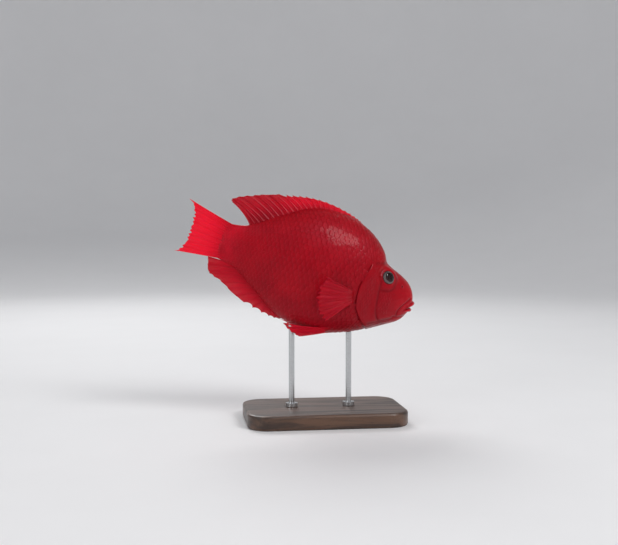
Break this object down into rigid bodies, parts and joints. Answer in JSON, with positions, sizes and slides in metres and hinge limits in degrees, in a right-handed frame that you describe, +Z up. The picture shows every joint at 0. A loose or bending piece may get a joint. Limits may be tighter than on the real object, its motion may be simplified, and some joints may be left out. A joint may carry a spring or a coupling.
{
  "type": "blood parrot cichlid",
  "caption": "Life-size still model of a deep-bodied red aquarium cichlid, swimming nose-down with its tail spread, held over a flat display base by slim rods.",
  "frame": {"origin": "middle of the display base's flat underside", "axes": "+Z up, +X towards the fish's head, +Y towards the fish's left side"},
  "size_m": [0.1993, 0.084, 0.1884],
  "materials": {
    "skin": "deep crimson scaled skin with a wet sheen",
    "fin": "red, thin and slightly translucent rayed membrane, brightest on the tail",
    "eye": "polished black pupil, set forward in a dusky grey ring, under a clear cornea",
    "stand_wood": "dark oiled hardwood",
    "stand_steel": "fine brushed steel"
  },
  "bodies": {
    "root": {"head": "skin", "lower_jaw": "skin", "gill_cover_left": "skin", "gill_cover_right": "skin", "trunk": "skin", "tail_stalk": "skin", "dorsal_fin": "fin", "anal_fin": "fin", "caudal_fin": "fin", "pectoral_fin_left": "fin", "pectoral_fin_right": "fin", "pelvic_fin_left": "fin", "pelvic_fin_right": "fin", "eye_left": "eye", "eye_right": "eye", "stand_base": "stand_wood", "stand_rod_front": "stand_steel", "stand_rod_back": "stand_steel"}
  },
  "joints": []
}
